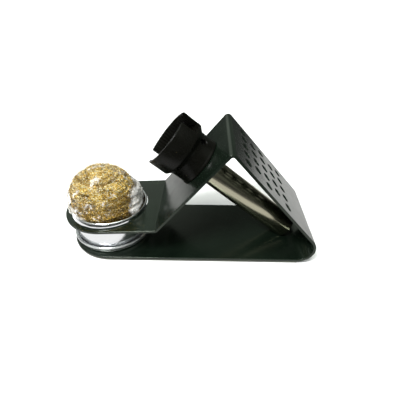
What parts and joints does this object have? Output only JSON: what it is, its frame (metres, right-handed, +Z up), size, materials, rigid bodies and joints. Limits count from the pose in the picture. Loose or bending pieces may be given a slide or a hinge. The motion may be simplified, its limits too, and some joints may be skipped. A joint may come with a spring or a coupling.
{
  "type": "soldering iron stand",
  "caption": "Bent steel soldering iron stand with a slanted guide tube, a slotted holder cup and a tin of brass cleaning wool in its platform.",
  "frame": {"origin": "middle of the footprint, on the surface that the stand rests on", "axes": "+Z up; +X along the length, from the tin towards the heel where the tube ends; -Y is the front"},
  "size_m": [0.1956, 0.07, 0.1033],
  "materials": {
    "frame_paint": "gloss",
    "pad_rubber": "matte",
    "tube_steel": "polished",
    "zinc_steel": "satin",
    "black_steel": "satin",
    "cup_plastic": "satin",
    "tin_metal": "gloss",
    "wool_brass": "gloss",
    "clear_film": "gloss"
  },
  "bodies": {
    "base": {"stand_frame": "frame_paint", "base_pad": "pad_rubber", "guide_tube": "tube_steel", "tube_retaining_ring": "zinc_steel"},
    "cup": {"holder_cup": "cup_plastic"},
    "set_screw": {"cup_set_screw": "black_steel"},
    "lid": {"tin_lid": "tin_metal"},
    "tin": {"tin_body": "tin_metal"},
    "wool": {"brass_wool": "wool_brass", "wool_wrapper": "clear_film"}
  },
  "joints": [
    {"name": "cup_turn", "type": "hinge", "parent": "base", "child": "cup", "pos_m": [0.01001, 0, 0.06895], "axis": [-0.7683, 0, 0.6401], "continuous": true},
    {"name": "set_screw_turn", "type": "hinge", "parent": "cup", "child": "set_screw", "pos_m": [0.00248, 0, 0.07523], "axis": [0.5956, -0.3665, 0.7148], "continuous": true},
    {"name": "lid_turn", "type": "hinge", "parent": "base", "child": "lid", "pos_m": [-0.06282, 0, 0.0043], "axis": [0, 0, 1], "continuous": true},
    {"name": "tin_lift", "type": "slide", "parent": "base", "child": "tin", "axis": [0, 0, 1], "range_m": [0, 0.04]},
    {"name": "wool_lift", "type": "slide", "parent": "tin", "child": "wool", "axis": [0, 0, 1], "range_m": [0, 0.04]}
  ]
}
